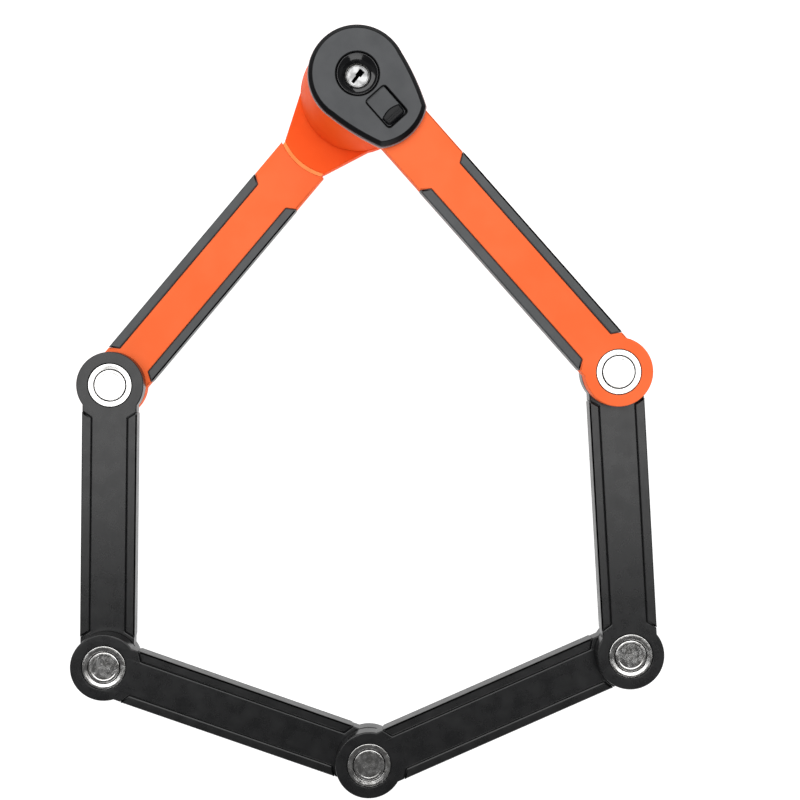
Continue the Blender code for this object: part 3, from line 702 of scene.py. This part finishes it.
def bezel(place):
    """The glossy funnel in the key recess, cut through where the slider's blade comes in."""
    top, bottom = CAP[1] - 0.1, GASKET[0]
    outer = RECESS_R - 0.25
    profile = [(outer - 0.35, top, 0.2), (outer, top - 0.35, 0.15), (outer, bottom, 0), (5.0, bottom, 0.15),
               (5.2, bottom + 0.7, 0.2), (6.5, bottom + 2.2, 0.8), (7.6, top - 0.75, 0.4)]
    blade_way = block(3.0, RECESS_R + 1, CHANNEL[2], BLADE[0] - BLADE_PLAY, BLADE[1] + BLADE_PLAY)
    mesh = combined(lathe(profile, True), blade_way)
    show("key_bezel", mesh, place, "lock_head", "gloss_black", GLOSS)


def plug(place):
    """The key plug with its stepped keyway; the keyway's inside is painted near-black as painted shade."""
    low, high = PLUG
    mesh = lathe([(0, high, 0), (PLUG_R - 0.55, high, 0.1), (PLUG_R - 0.45, high - 0.12, 0.05),
                  (PLUG_R - 0.3, high, 0.1), (PLUG_R, high, 0.3), (PLUG_R, low, 0.2), (0, low, 0)])
    side, foot = TANG
    mesh = combined(mesh, block(-side / 2, side / 2, side / 2, foot, low + 1), "UNION")
    outline = [(-3.5, -0.75, 0.2), (0.4, -0.75, 0.15), (0.4, -1.4, 0.3), (3.2, -1.4, 0.4),
               (3.2, 1.1, 0.4), (-0.2, 1.1, 0.3), (-0.2, 0.7, 0.15), (-3.5, 0.7, 0.2)]
    keyway = plate([(soften(outline), FLAT, FLAT)], high - KEYWAY_DEPTH, high + 1)
    keyway.transform(Matrix.Rotation(math.radians(KEYWAY_TURN), 4, "Z"))
    mesh = combined(mesh, keyway)
    show("key_plug", mesh, place, "key_plug", "plug_steel", PLUG_STEEL, KEYWAY_PAINTED_SHADE)
    # Painted shade: the faces inside the keyway get the near-black finish
    for face in mesh.polygons:
        depth = high - face.center.z / MM
        if 0.3 < depth < KEYWAY_DEPTH + 0.1 and face.center.xy.length / MM < PLUG_R - 0.5:
            face.material_index = 1


def slider(place):
    """The keyhole slider: a flat blade, and a thumb rib with a bowed front edge and three fine ridges."""
    x0, x1, half = BLADE_SPAN
    low, high = BLADE
    mesh = plate([(soften(rounded_box(x0, x1, half, 1.5)), fillet(0.2, 3), fillet(0.2, 2))], low, high)
    front, back, peak = THUMB
    side = half - 0.25
    bow = [(front + THUMB_BOW * t * t, side * t, 0.0) for t in (i / 8 for i in range(9))]
    plan = soften(mirrored([(back, side, 2.0), *reversed(bow)]))
    scoop = [(0.0, 0.6), (0.15, 0.4), (0.5, 0.15), (0.9, 0.0)]
    mesh = combined(mesh, plate([(plan, scoop, FLAT)], high - 0.5, peak - 0.25), "UNION")
    for index in range(RIDGE_COUNT):
        x = back - 1.4 - RIDGE_PITCH * index
        ridge = soften(rounded_box(x, x + RIDGE_WIDE, side - 1.2, 0.2))
        mesh = combined(mesh, plate([(ridge, [(0, 0.12), (0.08, 0)], FLAT)], high + 0.2, peak), "UNION")
    show("keyhole_slider", mesh, place, "keyhole_slider", "head_cap", FACE, RIM_AND_PAINTED_SHADE)
    for face in mesh.polygons:
        if face.center.z > (high + 0.02) * MM:
            face.material_index = 1


def spring(place):
    """The bolt's return spring, with flat ends."""
    seat, top = SPRING
    radius = SPRING_WIRE / 2
    stations = SPRING_TURNS * EYE_STEPS
    work = bmesh.new()
    rings = []
    for i in range(stations + 1):
        turn = 2 * math.pi * i / EYE_STEPS
        rise = min(max((i / stations - SPRING_ENDS) / (1 - 2 * SPRING_ENDS), 0), 1)
        height = seat + radius + (top - seat - SPRING_WIRE) * rise
        ring = []
        for side in (2 * math.pi * n / WIRE_SIDES for n in range(WIRE_SIDES)):
            out = SPRING_R + radius * math.cos(side)
            ring.append(work.verts.new((out * math.cos(turn) * MM, out * math.sin(turn) * MM,
                                        (height + radius * math.sin(side)) * MM)))
        rings.append(ring)
    skin_rings(work, rings, False)
    work.faces.new(rings[0])
    work.faces.new(rings[-1])
    piece = show("bolt_spring", to_mesh(work), place, "lock_head", "lock_steel", LOCK_STEEL)
    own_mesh(piece)


# Assembly ------------------------------------------------------------------------------------------

def build():
    right_arm(placed(CORNERS[0], HEAD, 5 * LEVEL))
    for index, name in enumerate(LINKS):
        link(name, placed(CORNERS[index], CORNERS[index + 1], (4 - index) * LEVEL))
    left_arm(placed(CORNERS[4], HEAD, 0))
    for index, (name, body) in enumerate(RIVETS):
        rivet(name, placed(CORNERS[index], HEAD, (5 - index) * LEVEL), body)
    head = placed(HEAD, CORNERS[0], 0)
    for piece in (housing, gasket, cap, bezel, plug, slider, spring):
        piece(head)


def finish_cad_nodes():
    """Give the CAD nodes that stay in view their procedural finishes."""
    for name, node in frame["nodes"].items():
        if name.endswith("_core"):
            finish = CORE
        elif name.endswith("_washer"):
            finish = NYLON
        elif name == "lock_cylinder":
            finish = NICKEL
        else:
            finish = LOCK_STEEL
        node.data.materials.clear()
        node.data.materials.append(finish)


# Studio --------------------------------------------------------------------------------------------

FLOOR_WHITE = 0.3
FLOOR_GLOW = 0.97
SKY = 0.07


def studio():
    """A pale floor that glows white, a dim even sky, a softbox overhead behind the head and a low fill."""
    bpy.ops.mesh.primitive_plane_add(size=6, location=(0, 0, -0.0004))
    floor = bpy.context.object
    floor.name = "floor"
    paper = bpy.data.materials.new("floor_paper")
    paper.use_nodes = True
    shader = paper.node_tree.nodes["Principled BSDF"]
    shader.inputs["Base Color"].default_value = (FLOOR_WHITE, FLOOR_WHITE, FLOOR_WHITE, 1)
    shader.inputs["Roughness"].default_value = 0.9
    shader.inputs["Emission Color"].default_value = (1, 1, 1, 1)
    shader.inputs["Emission Strength"].default_value = FLOOR_GLOW
    floor.data.materials.append(paper)
    softbox("softbox", (-0.05, 0.7, 1.2), (-0.05, 0.7, 0), (2.2, 1.9), 2.4)
    softbox("fill", (0.25, -1.9, 0.7), (0, 0, 0), (2.0, 0.8), 2.0)
    world = bpy.data.worlds.new("sky")
    world.use_nodes = True
    sky = world.node_tree.nodes["Background"]
    sky.inputs["Color"].default_value = (1, 1, 1, 1)
    sky.inputs["Strength"].default_value = SKY
    bpy.context.scene.world = world


def softbox(name, location, target, size, radiance):
    """A rectangular light of even radiance, aimed at a point."""
    light = bpy.data.lights.new(name, "AREA")
    light.shape = "RECTANGLE"
    light.size, light.size_y = size
    light.energy = radiance * math.pi * size[0] * size[1]
    lamp = bpy.data.objects.new(name, light)
    bpy.context.scene.collection.objects.link(lamp)
    lamp.location = location
    lamp.rotation_euler = (Vector(target) - Vector(location)).to_track_quat("-Z", "Y").to_euler()


def camera():
    """Nearly straight down on the lock, from about half a metre."""
    lens = bpy.data.cameras.new("camera")
    lens.sensor_width = 36
    lens.lens = 51.74
    lens.clip_start, lens.clip_end = 0.01, 20
    eye = bpy.data.objects.new("camera", lens)
    bpy.context.scene.collection.objects.link(eye)
    eye.location = (-0.00532, 0.02672, 0.5335)
    eye.rotation_euler = [math.radians(a) for a in (-2.201, -2.306, 0.014)]
    bpy.context.scene.camera = eye


build()
finish_cad_nodes()
studio()
camera()
bpy.context.scene.view_settings.view_transform = "Standard"
